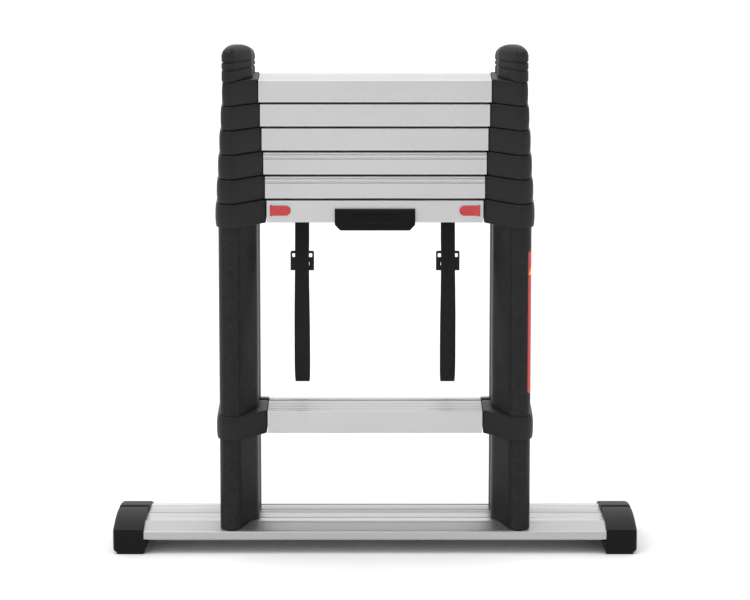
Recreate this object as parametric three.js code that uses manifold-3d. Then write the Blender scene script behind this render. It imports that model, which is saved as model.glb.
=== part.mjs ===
// Telescopic A-frame ladder, closed. Millimetres, +Z up, front towards -Y.
// Two telescopic sections stand back to back and share a hinge line at the top.
// The origin is on the floor, at the middle of the footprint.

import * as THREE from 'three';
import { mergeVertices } from 'three/addons/utils/BufferGeometryUtils.js';
import Module from 'manifold-3d';

const wasm = await Module();
wasm.setup();

// ---- driving dimensions ----
const STAGES = 6;              // nested tubes in each stile
const RUNGS = 7;               // treads in each section
const RUNG_PITCH = 33.6;       // tread to tread, closed
const TREAD_FACE_Y = -60;      // front face of every tread
const TREAD_BACK_Y = -7;
const TREAD_HEIGHT = 31;
const TREAD_WALL = 2.2;
const TREAD_SLOPE = 6.8 / 53;  // treads lean down towards the front
const TREAD_END = 151.9;       // half length of the two lowest treads
const TREAD_END_STEP = 2.14;   // growth of the half length per stage
const TOP_RUNG_Z = 634.2;      // lower front edge of tread 7
const LOW_RUNG_Z = 167.2;      // lower front edge of tread 1

const TUBE_WALL = 1.4;
const TUBE_STEP = 2.05;        // each tube is this much smaller all round
const TUBE_FOOT_Z = 64;        // lower end of tube 2
const TUBE_FOOT_STEP = 4;
const COLLAR_WALL = 4.1;
const COLLAR_HEIGHT = 32.9;
const TENON = 8;               // length of the collar's tongue in the tread
const CLEAR = 0.35;            // gap between touching pieces

const COLLAR_DROP = 0.6;       // collar starts this far below its tread
const STILE_FOOT_Z = 28;       // tube 1 reaches down to here, then is cut to the bar

const BAR_HALF = 355;
const BAR_WALL = 2.4;
const BAR_FRONT_Y = -93;
const BAR_EDGE_Y = -60;        // the top falls from here to the front edge
const BAR_BACK_Y = -2.5;
const BAR_LOW_Z = 20.4;
const BAR_LIP_Z = 32;
const BAR_TOP_Z = 41;
const FOOT_IN = 326.1;
const FOOT_OUT = 369.3;
const FOOT_FRONT_Y = -95.5;
const FOOT_BACK_Y = -1.5;
const FOOT_TOP_Z = 50;
const FOOT_FALL = 14.8;        // drop of the crown at the front
const WEDGE_IN = 320.5;
const WEDGE_TOP_Z = 19.5;

const CAP_INSET = 5.9;
const CAP_CREASE_Z = 702;
const CAP_TOP_Z = 714.5;

const REAR_CAP_DROP = 5;       // the rear caps stand this much lower, hidden behind the front ones
const CAP_PLUG = 18;           // length of the plug in the top tube
const CAP_DOME = [[0, 0], [2.4, 4.5], [6.5, 9.2], [9.9, CAP_TOP_Z - CAP_CREASE_Z]]; // [inset, height]

const HINGE_Z = 700;
const PIN_R = 4;
const PIN_CLEAR = 0.3;
const PIN_X = [181.5, 203.5];
const PIN_HEADS = [[203.2, 206], [179, 181.8]];
const PIN_HEAD_R = 6.2;
const LUG_R = 8;
const LUG_FRONT_Y = -13.4;
const LUG_BACK_Y = -4;
const LUG_FOOT_Z = 652;
const LUG_ROOT = [-17.5, -6, 642, 670]; // y0, y1, z0, z1

const BUTTON_Z = 483.2;
const BUTTON_IN = 117.3;
const BUTTON_OUT = 147;
const BUTTON_TRAVEL = 8;
const BUTTON_R = 7.7;          // half height of the pad, round at its inner end
const BUTTON_Y = [-63.2, -60.3];
const STEM_X = [131, 139];
const STEM_HALF = 4;
const CARRIAGE_X = [129, 141];
const CARRIAGE_Y = [-48, -36];
const CARRIAGE_HALF = 6;
const BOLT_R = 4;
const BOLT_Y = -42;
const BOLT_OUT = 166.3;

const GRIP_HALF = 56.3;
const GRIP_PROFILE = [[-66.5, 457.2], [-65, 455.7], [-46, 457.6], [-46, 465.4], [-60.35, 463.8],
  [-60.35, 485.8], [-64.5, 485.8], [-66.5, 484]];
const GRIP_CORNER = [8.5, 455, 465]; // cut width, low and high z
const GRIP_WINDOW = [34, 467, 478.5, -65.4]; // half width, low and high z, bottom y

const STRAP_X = 103.45;
const STRAP_WIDTH = 20;
const STRAP_THICK = 1.5;
const STRAP_TOP_Z = 490;
const STRAP_FRONT_Y = -6;      // front strand at the top
const STRAP_BACK_Y = 1.9;      // back strand, ahead of the rear section's sliding bar
const STRAP_BELLY_Y = -38;
const STRAP_TURN_Z = 256;      // middle of the round turn at the bottom
const BUCKLE_HALF = 16.8;
const BUCKLE_Y = [-3, 0];
const BUCKLE_Z = [392, 420];
const BUCKLE_SLOT_HALF = 12.5;
const BUCKLE_SLOTS = [398.5, 408.5];
const BUCKLE_SLOT_HEIGHT = 5.4;

const AROUND = 16;             // facets round a tube

// Stile section of tube 1 on the +X side: the hull of three round corners [x, y, radius].
const SECTION = [[202.5, -75, 16], [190.7, -36, 26], [198.7, -28, 20]];

// ---- materials ----
const colours = {
  aluminium: new THREE.MeshStandardMaterial({ color: 0xd2d3d4, roughness: 0.42, metalness: 0.9 }),
  stile: new THREE.MeshStandardMaterial({ color: 0x2a2a2b, roughness: 0.45, metalness: 0.3 }),
  plastic: new THREE.MeshStandardMaterial({ color: 0x303031, roughness: 0.55, metalness: 0 }),
  foot: new THREE.MeshStandardMaterial({ color: 0x232324, roughness: 0.7, metalness: 0 }),
  red: new THREE.MeshStandardMaterial({ color: 0xc8404a, roughness: 0.4, metalness: 0 }),
  steel: new THREE.MeshStandardMaterial({ color: 0xa8aaac, roughness: 0.35, metalness: 1 }),
  webbing: new THREE.MeshStandardMaterial({ color: 0x1f1f20, roughness: 0.9, metalness: 0 }),
};

// ---- solids ----
function toSolid(geometry) {
  const bare = new THREE.BufferGeometry();
  bare.setAttribute('position', geometry.getAttribute('position').clone());
  if (geometry.index) bare.setIndex(geometry.index.clone());
  const merged = mergeVertices(bare, 1e-4);
  return new wasm.Manifold(new wasm.Mesh({
    numProp: 3,
    vertProperties: new Float32Array(merged.getAttribute('position').array),
    triVerts: new Uint32Array(merged.index.array),
  }));
}

function toGeometry(solid) {
  const mesh = solid.getMesh();
  const geometry = new THREE.BufferGeometry();
  geometry.setAttribute('position', new THREE.BufferAttribute(new Float32Array(mesh.vertProperties), 3));
  geometry.setIndex(new THREE.BufferAttribute(new Uint32Array(mesh.triVerts), 1));
  return geometry;
}

// A prism along X from a profile drawn in the Y-Z plane.
function prismX(profile, x0, x1, hole) {
  const shape = new THREE.Shape(profile.map(([y, z]) => new THREE.Vector2(y, z)));
  if (hole) shape.holes.push(new THREE.Path(hole.map(([y, z]) => new THREE.Vector2(y, z))));
  const geometry = new THREE.ExtrudeGeometry(shape, { depth: x1 - x0, bevelEnabled: false, steps: 1 });
  const turn = new THREE.Matrix4().makeBasis(
    new THREE.Vector3(0, 1, 0), new THREE.Vector3(0, 0, 1), new THREE.Vector3(1, 0, 0));
  geometry.applyMatrix4(turn);
  geometry.translate(x0, 0, 0);
  return toSolid(geometry);
}

function box(x0, x1, y0, y1, z0, z1) {
  const geometry = new THREE.BoxGeometry(x1 - x0, y1 - y0, z1 - z0);
  geometry.translate((x0 + x1) / 2, (y0 + y1) / 2, (z0 + z1) / 2);
  return toSolid(geometry);
}

function rodX(x0, x1, y, z, radius) {
  const geometry = new THREE.CylinderGeometry(radius, radius, x1 - x0, 16);
  geometry.rotateZ(Math.PI / 2);
  geometry.translate((x0 + x1) / 2, y, z);
  return toSolid(geometry);
}

// The hull of round corners, grown by `grow`, as a ring of points with evenly turned normals.
function outline(corners, grow) {
  return Array.from({ length: AROUND }, (_, i) => {
    const angle = (2 * Math.PI * (i + 0.5)) / AROUND;
    const nx = Math.cos(angle);
    const ny = Math.sin(angle);
    const reach = ([x, y, r]) => x * nx + y * ny + r;
    const far = corners.reduce((best, corner) => (reach(corner) > reach(best) ? corner : best));
    return [far[0] + (far[2] + grow) * nx, far[1] + (far[2] + grow) * ny];
  });
}

// Height of a plane that leans like the treads and passes z at the treads' front face.
const leaning = (z) => (y) => z + TREAD_SLOPE * (y - TREAD_FACE_Y);
const level = (z) => () => z;

// Stacks rings of equal count into one closed body. Each layer is [ring, height function].
function loft(layers) {
  const positions = [];
  const index = [];
  const count = layers[0][0].length;
  for (const [ring, height] of layers) {
    for (const [x, y] of ring) positions.push(x, y, height(y));
  }
  for (let layer = 0; layer + 1 < layers.length; layer += 1) {
    for (let i = 0; i < count; i += 1) {
      const a = layer * count + i;
      const b = layer * count + ((i + 1) % count);
      index.push(a, b, b + count, a, b + count, a + count);
    }
  }
  const top = (layers.length - 1) * count;
  for (let i = 1; i + 1 < count; i += 1) {
    index.push(0, i + 1, i, top, top + i, top + i + 1);
  }
  const geometry = new THREE.BufferGeometry();
  geometry.setAttribute('position', new THREE.Float32BufferAttribute(positions, 3));
  geometry.setIndex(index);
  return toSolid(geometry);
}

// ---- shared shapes, all on the +X side of the front section ----
const rungZ = (rung) => (rung === 1 ? LOW_RUNG_Z : TOP_RUNG_Z - RUNG_PITCH * (RUNGS - rung));
const treadEnd = (rung) => TREAD_END + TREAD_END_STEP * Math.max(0, rung - 2);
const tubeInset = (stage) => TUBE_STEP * (stage - 1);

function treadProfile(z, inset) {
  const y0 = TREAD_FACE_Y + inset;
  const y1 = TREAD_BACK_Y - inset;
  const low = leaning(z + inset);
  const high = leaning(z + TREAD_HEIGHT - inset);
  return [[y0, low(y0)], [y1, low(y1)], [y1, high(y1)], [y0, high(y0)]];
}

function barProfile(grow) {
  const y0 = BAR_FRONT_Y - grow;
  const y1 = BAR_BACK_Y + grow;
  const z0 = BAR_LOW_Z - grow;
  return [[y0, z0], [y1, z0], [y1, BAR_TOP_Z + grow], [BAR_EDGE_Y, BAR_TOP_Z + grow], [y0, BAR_LIP_Z + grow]];
}

function tread(rung) {
  const end = treadEnd(rung) - CLEAR;
  const z = rungZ(rung);
  return prismX(treadProfile(z, 0), -end, end, treadProfile(z, TREAD_WALL));
}

function tongue(rung) {
  const end = treadEnd(rung);
  return prismX(treadProfile(rungZ(rung), TREAD_WALL + CLEAR), end - TENON, end + 10);
}

// A moulded collar: it wraps the stile and reaches in to carry the end of a tread.
function collar(rung, grow) {
  const end = treadEnd(rung);
  const socket = [[end + 2, TREAD_FACE_Y + 2, 2], [end + 2, TREAD_BACK_Y - 2, 2]];
  const z = rungZ(rung) - COLLAR_DROP;
  const round = SECTION.map(([x, y, r]) => [x, y, r + grow]);
  const wrap = outline([...round, ...socket], 0);
  return loft([[wrap, leaning(z)], [wrap, leaning(z + COLLAR_HEIGHT)]]).add(tongue(rung));
}

function hingeLug(x0, x1) {
  const shape = [[LUG_FRONT_Y, LUG_FOOT_Z], [LUG_BACK_Y, LUG_FOOT_Z]];
  for (let step = 0; step <= 8; step += 1) {
    const angle = THREE.MathUtils.degToRad(-15 + step * (195 / 8));
    shape.push([LUG_R * Math.cos(angle), HINGE_Z + LUG_R * Math.sin(angle)]);
  }
  shape.push([LUG_FRONT_Y, HINGE_Z]);
  const bore = rodX(x0 - 1, x1 + 1, 0, HINGE_Z, PIN_R + PIN_CLEAR);
  return prismX(shape, x0, x1).add(box(x0, x1, ...LUG_ROOT)).subtract(bore);
}

const FRONT_LUGS = [[183, 188], [197, 202]];
const REAR_LUGS = [[189, 196]];

function stile(stage, lugs, buttonBore) {
  const inset = tubeInset(stage);
  const rung = stage + 1;
  const topZ = rungZ(rung) - COLLAR_DROP + COLLAR_HEIGHT;
  const footZ = stage === 1 ? STILE_FOOT_Z : TUBE_FOOT_Z + TUBE_FOOT_STEP * (stage - 2);
  let body = loft([
    [outline(SECTION, -inset), level(footZ)],
    [outline(SECTION, -inset), leaning(topZ)],
  ]).add(collar(rung, COLLAR_WALL - inset));
  const hollow = outline(SECTION, -inset - TUBE_WALL);
  body = body.subtract(loft([[hollow, level(footZ - 5)], [hollow, level(topZ + 30)]]));
  if (stage === 1) {
    body = body.subtract(prismX(barProfile(CLEAR), 100, 260));
    if (buttonBore) body = body.subtract(rodX(BUTTON_IN, BOLT_OUT + 2.2, BOLT_Y, BUTTON_Z, BOLT_R + 0.4));
  }
  if (stage === STAGES) lugs.forEach(([x0, x1]) => { body = body.add(hingeLug(x0, x1)); });
  return body;
}

function clamp() {
  const hole = outline(SECTION, CLEAR);
  return collar(1, COLLAR_WALL).subtract(loft([[hole, level(100)], [hole, level(260)]]));
}

// A domed plug that closes the top tube. A negative gap joins it to the collar below.
function topCap(gap, drop = 0) {
  const base = rungZ(RUNGS) - COLLAR_DROP + COLLAR_HEIGHT + gap;
  const ring = (inset) => outline(SECTION, -inset);
  const plug = tubeInset(STAGES) + TUBE_WALL + CLEAR;
  return loft([
    [ring(plug), leaning(base - CAP_PLUG)],
    [ring(plug), leaning(base)],
    [ring(CAP_INSET), leaning(base)],
    ...CAP_DOME.map(([inset, height]) => [ring(CAP_INSET + inset), level(CAP_CREASE_Z - drop + height)]),
  ]);
}

function bar() {
  return prismX(barProfile(0), -BAR_HALF, BAR_HALF, barProfile(-BAR_WALL));
}

// End shoe: a block with a crowned top, its sole on the floor, and a pocket for the bar's end.
function foot() {
  const crown = [];
  for (let step = 0; step <= 6; step += 1) {
    const t = step / 6;
    crown.push([FOOT_BACK_Y + (FOOT_FRONT_Y - FOOT_BACK_Y) * t, FOOT_TOP_Z - FOOT_FALL * t ** 2.2]);
  }
  const side = [[FOOT_FRONT_Y, 0], [FOOT_BACK_Y, 0], ...crown];
  const above = prismX(side, FOOT_IN, FOOT_OUT);
  const wedge = box(WEDGE_IN, FOOT_IN + 1, FOOT_FRONT_Y, FOOT_BACK_Y, 0, WEDGE_TOP_Z);
  const slant = new THREE.BoxGeometry(12, 120, 40);
  slant.translate(-6, 0, 0);
  slant.rotateY(-Math.atan2(FOOT_IN - WEDGE_IN, WEDGE_TOP_Z));
  slant.translate(FOOT_IN, (FOOT_FRONT_Y + FOOT_BACK_Y) / 2, 0);
  const pocket = prismX(barProfile(CLEAR), 300, BAR_HALF + CLEAR);
  return above.add(wedge.subtract(toSolid(slant))).subtract(pocket);
}

// ---- the front section's own pieces ----
function releaseButton() {
  const z = BUTTON_Z;
  const inner = BUTTON_IN + BUTTON_R;
  const round = new THREE.CylinderGeometry(BUTTON_R, BUTTON_R, BUTTON_Y[1] - BUTTON_Y[0], 16);
  round.translate(inner, (BUTTON_Y[0] + BUTTON_Y[1]) / 2, z);
  return toSolid(round)
    .add(box(inner - 0.7, BUTTON_OUT, ...BUTTON_Y, z - BUTTON_R, z + BUTTON_R))
    .add(box(...STEM_X, BUTTON_Y[1] - 0.7, CARRIAGE_Y[0] + 1, z - STEM_HALF, z + STEM_HALF))
    .add(box(...CARRIAGE_X, ...CARRIAGE_Y, z - CARRIAGE_HALF, z + CARRIAGE_HALF));
}

function lockBolt() {
  return rodX(CARRIAGE_X[1] + CLEAR, BOLT_OUT, BOLT_Y, BUTTON_Z, BOLT_R);
}

// A short bar handle across the front of tread 2, with a lip that turns under the tread.
function gripHandle() {
  const [cut, low, high] = GRIP_CORNER;
  const corner = (side) => {
    const shape = [[GRIP_HALF - cut, low], [GRIP_HALF + 1, low], [GRIP_HALF + 1, high]];
    const flat = new THREE.Shape(shape.map(([x, z]) => new THREE.Vector2(side * x, z)));
    const geometry = new THREE.ExtrudeGeometry(flat, { depth: 40, bevelEnabled: false });
    geometry.rotateX(Math.PI / 2);
    geometry.translate(0, -40, 0);
    return toSolid(geometry);
  };
  return prismX(GRIP_PROFILE, -GRIP_HALF, GRIP_HALF).subtract(corner(-1)).subtract(corner(1));
}

function gripPlate() {
  const [half, low, high, bottom] = GRIP_WINDOW;
  return gripHandle().subtract(box(-half, half, -67.5, bottom, low, high));
}

// Webbing loop: a closed band that hangs between the sections and bellies towards the front.
function strap() {
  const band = (inset) => {
    const shape = new THREE.Shape();
    const y0 = STRAP_FRONT_Y + inset;
    const y1 = STRAP_BACK_Y - inset;
    const belly = STRAP_BELLY_Y + inset;
    shape.moveTo(y1, STRAP_TOP_Z - inset);
    shape.lineTo(y0, STRAP_TOP_Z - inset);
    shape.lineTo(y0, STRAP_TOP_Z - 35);
    shape.bezierCurveTo(y0 - 3, STRAP_TOP_Z - 90, belly, STRAP_TURN_Z + 64, belly, STRAP_TURN_Z + 2);
    shape.absarc((y1 + belly) / 2, STRAP_TURN_Z, (y1 - belly) / 2, Math.PI, 2 * Math.PI, false);
    shape.lineTo(y1, STRAP_TURN_Z + 2);
    return shape.getPoints(5).map((point) => [point.x, point.y]);
  };
  const half = STRAP_WIDTH / 2;
  return prismX(band(0), STRAP_X - half, STRAP_X + half)
    .subtract(prismX(band(STRAP_THICK), STRAP_X - half - 1, STRAP_X + half + 1));
}

function buckle() {
  const plate = box(STRAP_X - BUCKLE_HALF, STRAP_X + BUCKLE_HALF, ...BUCKLE_Y, ...BUCKLE_Z);
  return BUCKLE_SLOTS.reduce((body, z) => body.subtract(box(STRAP_X - BUCKLE_SLOT_HALF,
    STRAP_X + BUCKLE_SLOT_HALF, BUCKLE_Y[0] - 1, BUCKLE_Y[1] + 1, z, z + BUCKLE_SLOT_HEIGHT)), plate);
}

function hingePin() {
  return PIN_HEADS.reduce((body, [x0, x1]) => body.add(rodX(x0, x1, 0, HINGE_Z, PIN_HEAD_R)),
    rodX(...PIN_X, 0, HINGE_Z, PIN_R));
}

// ---- assembly ----
function mirrored(geometry) {
  const copy = geometry.clone();
  copy.scale(-1, 1, 1);
  const index = copy.index.array;
  for (let i = 0; i < index.length; i += 3) [index[i], index[i + 1]] = [index[i + 1], index[i]];
  return copy;
}

function piece(name, geometry, material) {
  const mesh = new THREE.Mesh(geometry, material);
  mesh.name = name;
  return mesh;
}

// Adds a piece to a section on both sides. A section turned half round swaps left and right.
function pair(group, name, solid, material, turned = false) {
  const plusX = toGeometry(solid);
  const [plusSide, minusSide] = turned ? ['left', 'right'] : ['right', 'left'];
  group.add(piece(`${name}_${plusSide}`, plusX, material));
  group.add(piece(`${name}_${minusSide}`, mirrored(plusX), material));
}

function section(label, turned) {
  const group = new THREE.Group();
  const isFront = !turned;
  group.add(piece(`${label}_bar`, toGeometry(bar()), colours.aluminium));
  pair(group, `${label}_foot`, foot(), colours.foot, turned);
  for (let stage = 1; stage <= STAGES; stage += 1) {
    let body = stile(stage, isFront ? FRONT_LUGS : REAR_LUGS, isFront);
    if (turned && stage === STAGES) body = body.add(topCap(-CLEAR, REAR_CAP_DROP));
    if (turned && stage === 1) body = body.add(clamp()).add(clampKey());
    pair(group, `${label}_stile_${stage}`, body, colours.stile, turned);
  }
  for (let rung = 1; rung <= RUNGS; rung += 1) {
    let body = tread(rung);
    if (isFront && rung === 2) {
      for (const side of [-1, 1]) body = body.subtract(buttonSlot(side));
    }
    group.add(piece(`${label}_tread_${rung}`, toGeometry(body), colours.aluminium));
  }
  if (turned) group.rotation.z = Math.PI;
  return group;
}

// Joins the rear clamp to its tube, because those two share one node.
function clampKey() {
  return box(160, 172, -40, -30, 175, 190).subtract(
    loft([[outline(SECTION, -TUBE_WALL), level(160)], [outline(SECTION, -TUBE_WALL), level(210)]]));
}

function buttonSlot(side) {
  const x0 = 131 - BUTTON_TRAVEL - 0.5;
  const x1 = 139.5;
  return box(Math.min(side * x0, side * x1), Math.max(side * x0, side * x1),
    -61, -57, BUTTON_Z - 4.5, BUTTON_Z + 4.5);
}

const ladder = new THREE.Group();
const front = section('front', false);
ladder.add(front, section('rear', true));
pair(front, 'front_clamp', clamp(), colours.plastic);
pair(front, 'top_cap', topCap(CLEAR), colours.plastic);
pair(front, 'release_button', releaseButton(), colours.red);
pair(front, 'lock_bolt', lockBolt(), colours.steel);
pair(front, 'strap', strap(), colours.webbing);
pair(front, 'strap_buckle', buckle(), colours.plastic);
pair(front, 'hinge_pin', hingePin(), colours.steel);
front.add(piece('grip_handle', toGeometry(gripPlate()), colours.plastic));

export default ladder;
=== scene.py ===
import math

import bpy
import numpy as np
from bpy.props import FloatProperty, FloatVectorProperty, PointerProperty
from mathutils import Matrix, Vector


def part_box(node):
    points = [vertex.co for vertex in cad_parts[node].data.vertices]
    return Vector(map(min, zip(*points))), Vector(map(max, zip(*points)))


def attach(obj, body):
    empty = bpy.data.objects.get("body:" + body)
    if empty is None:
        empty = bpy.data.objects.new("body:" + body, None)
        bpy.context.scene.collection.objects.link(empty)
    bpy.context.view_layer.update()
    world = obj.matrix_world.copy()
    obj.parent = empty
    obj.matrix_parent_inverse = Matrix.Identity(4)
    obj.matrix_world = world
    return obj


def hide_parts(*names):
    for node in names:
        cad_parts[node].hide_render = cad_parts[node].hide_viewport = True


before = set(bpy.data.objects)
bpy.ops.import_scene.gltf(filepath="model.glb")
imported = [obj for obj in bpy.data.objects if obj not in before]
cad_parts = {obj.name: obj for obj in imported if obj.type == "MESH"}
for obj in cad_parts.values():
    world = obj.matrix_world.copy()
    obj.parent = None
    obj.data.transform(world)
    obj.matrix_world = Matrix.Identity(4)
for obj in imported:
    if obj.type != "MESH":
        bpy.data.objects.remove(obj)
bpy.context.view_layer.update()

bl_info = {
    "name": "Telescopic Frame Ladder",
    "version": (1, 0, 0),
    "blender": (4, 5, 0),
    "location": "3D View > Sidebar > Ladder",
    "description": "Builds the finished pieces of a closed telescopic A-frame ladder on its packed frame",
    "category": "Add Mesh",
}

# Sizes are in millimetres unless they stand in a setting, and MM turns them into metres.
# The right side of the front section is the one that is drawn. The others are its mirror images.
MM = 0.001
SECTIONS = (("front", 1), ("rear", -1))
SIDES = (("left", -1), ("right", 1))
STAGES = 6
RUNGS = 7

# Section of the outermost stile tube: the hull of three round corners (x, y, radius).
STILE_CORNERS = ((202.5, -75.0, 16.0), (190.7, -36.0, 26.0), (198.7, -28.0, 20.0))
TUBE_STEP = 2.05
TUBE_WALL = 1.4
TUBE_FOOT_Z = 64.0
TUBE_FOOT_STEP = 4.0
CLEAR = 0.35
COLLAR_WALL = 4.1
COLLAR_HEIGHT = 32.9
COLLAR_DROP = 0.6
SOCKET_WALL = 2.4
TREAD_HEIGHT = 31.0
TREAD_WALL = 2.2
TREAD_SLOPE = 6.8 / 53.0
TREAD_FACE_Y = -60.0
TREAD_BACK_Y = -7.0
GRIP_GROOVES_Y = np.arange(-14.0, -55.0, -8.0)
BEADED_RUNGS = (3, 4)
BAR_FRONT_Y = -93.0
BAR_BEND_Y = -60.0
BAR_BACK_Y = -2.5
BAR_BOTTOM = 20.4
BAR_FRONT_TOP = 32.0
BAR_TOP = 41.0
BAR_WALL = 2.4
BAR_SLANT_WALL = 1.6
FOOT_INNER_X = 326.1
FOOT_POCKET_X = 355.3
FOOT_BOTTOM = 3.6
FOOT_TOP = 50.0
FOOT_FALL = 14.8
HINGE_Z = 700.0
LUG_RADIUS = 8.0
CAP_INSET = 5.9
CAP_PLUG = 17.0
CAP_CREASE_Z = 702.0
CAP_DOME = 12.4
REAR_CAP_DROP = 5.0
CREASE_ANGLE = math.radians(296)
NOSE_ANGLE = 310.0
BUTTON_Z = 483.2
STRAP_X = 103.45
STRAP_HALF = 10.0
SCREW_X = 191.0
SCREW_Z = 52.0
LABEL_LOW = 229.0
LABEL_HIGH = 429.0
TRIANGLE_LOW = 396.0
TRIANGLE_HEIGHT = 18.0
CAMERA_LENS = 136.3
BEVEL_ANGLE = math.radians(28)


# ---------------------------------------------------------------- settings

class LadderSizes(bpy.types.PropertyGroup):
    """Sizes that a user may change without breaking the fit on the frame."""

    groove_depth: FloatProperty(
        name="Tread groove depth", description="Depth of the grip grooves on the treads",
        default=0.0007, min=0.0, max=0.002, unit="LENGTH")
    collar_crown: FloatProperty(
        name="Collar crown", description="How far a collar's outer face bulges between its edges",
        default=0.0011, min=0.0, max=0.003, unit="LENGTH")
    strap_thickness: FloatProperty(
        name="Strap thickness", description="Thickness of the webbing",
        default=0.0013, min=0.0005, max=0.002, unit="LENGTH")
    camera_height: FloatProperty(
        name="Camera height", description="Height of the camera above the floor",
        default=0.8916, unit="LENGTH")
    camera_distance: FloatProperty(
        name="Camera distance", description="Distance of the camera in front of the origin",
        default=4.013, unit="LENGTH")
    camera_pitch: FloatProperty(
        name="Camera pitch", description="How far the camera looks down",
        default=math.radians(7.7), subtype="ANGLE")


class LadderColours(bpy.types.PropertyGroup):
    """Base colours of the finishes."""

    aluminium: FloatVectorProperty(
        name="Aluminium", description="Colour of the treads", subtype="COLOR",
        default=(0.56, 0.562, 0.565), min=0.0, max=1.0)
    # The bar colour is a darker copy of the tread aluminium: painted shade, standing for the shade and dark
    # reflections the bars get under the treads.
    bar: FloatVectorProperty(
        name="Bar aluminium", description="Colour of the base bars", subtype="COLOR",
        default=(0.46, 0.462, 0.465), min=0.0, max=1.0)
    stile: FloatVectorProperty(
        name="Stile coating", description="Colour of the coated tubes", subtype="COLOR",
        default=(0.006, 0.006, 0.0062), min=0.0, max=1.0)
    plastic: FloatVectorProperty(
        name="Moulded plastic", description="Colour of collars, caps and buckles", subtype="COLOR",
        default=(0.0102, 0.0102, 0.0104), min=0.0, max=1.0)
    rubber: FloatVectorProperty(
        name="Foot rubber", description="Colour of the end feet", subtype="COLOR",
        default=(0.005, 0.005, 0.0052), min=0.0, max=1.0)
    red: FloatVectorProperty(
        name="Release red", description="Colour of the release buttons", subtype="COLOR",
        default=(0.5, 0.04, 0.046), min=0.0, max=1.0)
    webbing: FloatVectorProperty(
        name="Webbing", description="Colour of the straps", subtype="COLOR",
        default=(0.008, 0.008, 0.0083), min=0.0, max=1.0)


def grey(value):
    """A neutral colour with full alpha."""
    return (value, value, value, 1.0)


def sizes():
    """The scene's size settings, in metres and radians."""
    return bpy.context.scene.ladder_sizes


def colour(name):
    """A colour setting with full alpha."""
    return tuple(getattr(bpy.context.scene.ladder_colours, name)) + (1.0,)


# ---------------------------------------------------------------- mesh helpers

def grid_quads(rows, cols, close_rows):
    """Quads of a grid whose columns close into a ring, as an array of four corners a row."""
    r = np.arange(rows if close_rows else rows - 1)[:, None]
    c = np.arange(cols)[None, :]
    r2, c2 = (r + 1) % rows, (c + 1) % cols
    return np.stack([r * cols + c, r * cols + c2, r2 * cols + c2, r2 * cols + c], -1).reshape(-1, 4)


def capped(rings):
    """A closed body from stacked rings (rows, columns, 3), with a fan to a middle point at each end."""
    rows, cols = rings.shape[:2]
    points = np.vstack([rings.reshape(-1, 3), rings[0].mean(0), rings[-1].mean(0)])
    c = np.arange(cols)
    nxt = (c + 1) % cols
    low = np.stack([np.full(cols, rows * cols), nxt, c], -1)
    top = (rows - 1) * cols
    high = np.stack([np.full(cols, rows * cols + 1), top + c, top + nxt], -1)
    return points, grid_quads(rows, cols, False).tolist() + low.tolist() + high.tolist()


def hoop(rings):
    """A ring-shaped body: rows run up the outside, across, down the inside, and meet."""
    rows, cols = rings.shape[:2]
    return rings.reshape(-1, 3), grid_quads(rows, cols, True).tolist()


def joined(*parts):
    """Several bodies as one list of points and one list of faces."""
    points, faces, start = [], [], 0
    for body_points, body_faces in parts:
        points.append(body_points)
        faces += [[i + start for i in face] for face in body_faces]
        start += len(body_points)
    return np.vstack(points), faces


def placed(shape, side, section):
    """The shape mirrored to the left (side -1) and to the rear section (section -1), faces outward."""
    points, faces = shape
    turned = points * np.array([side, section, 1.0])
    return turned, [face[::-1] for face in faces] if side * section < 0 else faces


def add_piece(name, shape, finish, body, replaced=(), sharp=32.0, bevel=0.0):
    """Makes the object from millimetre points, shades it, and rides it on its body."""
    points, faces = shape
    mesh = bpy.data.meshes.new(name)
    mesh.from_pydata((points * MM).tolist(), [], faces)
    mesh.validate()
    mesh.shade_smooth()
    mesh.set_sharp_from_angle(angle=math.radians(sharp))
    mesh.materials.append(finish)
    obj = bpy.data.objects.new(name, mesh)
    bpy.context.scene.collection.objects.link(obj)
    if bevel:
        modifier = obj.modifiers.new("Bevel", "BEVEL")
        modifier.width = bevel * MM
        modifier.segments = 3
        modifier.limit_method = "ANGLE"
        modifier.angle_limit = BEVEL_ANGLE
        modifier.harden_normals = True
    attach(obj, body)
    if replaced:
        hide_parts(*replaced)
    return obj


def body_of(section, stage):
    """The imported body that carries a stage: the lowest one is the section's base."""
    if stage == 1:
        return f"{section}_base"
    return f"{section}_stage_{stage}"


# ---------------------------------------------------------------- outlines

def hull_ring(corners, grow, count=72, crease=0.0):
    """The hull of round corners, grown: at each turn angle, the point of the circle that reaches
    farthest that way, so the normals turn evenly. A crease runs down the nose at a fixed angle."""
    angle = 2 * np.pi * (np.arange(count) + 0.5) / count
    grow = grow - crease * np.exp(-((angle - CREASE_ANGLE) / math.radians(4)) ** 2)
    normal = np.stack([np.cos(angle), np.sin(angle)], -1)
    c = np.asarray(corners, float)
    best = np.argmax(normal @ c[:, :2].T + c[:, 2], axis=1)
    return c[best, :2] + (c[best, 2] + grow)[:, None] * normal


def refined(rings, step):
    """Splits every long edge of a set of matched rings in the same way, so flats get points too."""
    rings = np.asarray(rings, float)
    following = np.roll(rings, -1, axis=1)
    longest = np.linalg.norm(following - rings, axis=-1).max(0)
    pieces = np.maximum(1, np.ceil(longest / step)).astype(int)
    index = np.repeat(np.arange(len(pieces)), pieces)
    first = np.repeat(np.cumsum(pieces) - pieces, pieces)
    share = (np.arange(len(index)) - first) / pieces[index]
    return rings[:, index] * (1 - share)[None, :, None] + following[:, index] * share[None, :, None]


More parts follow.
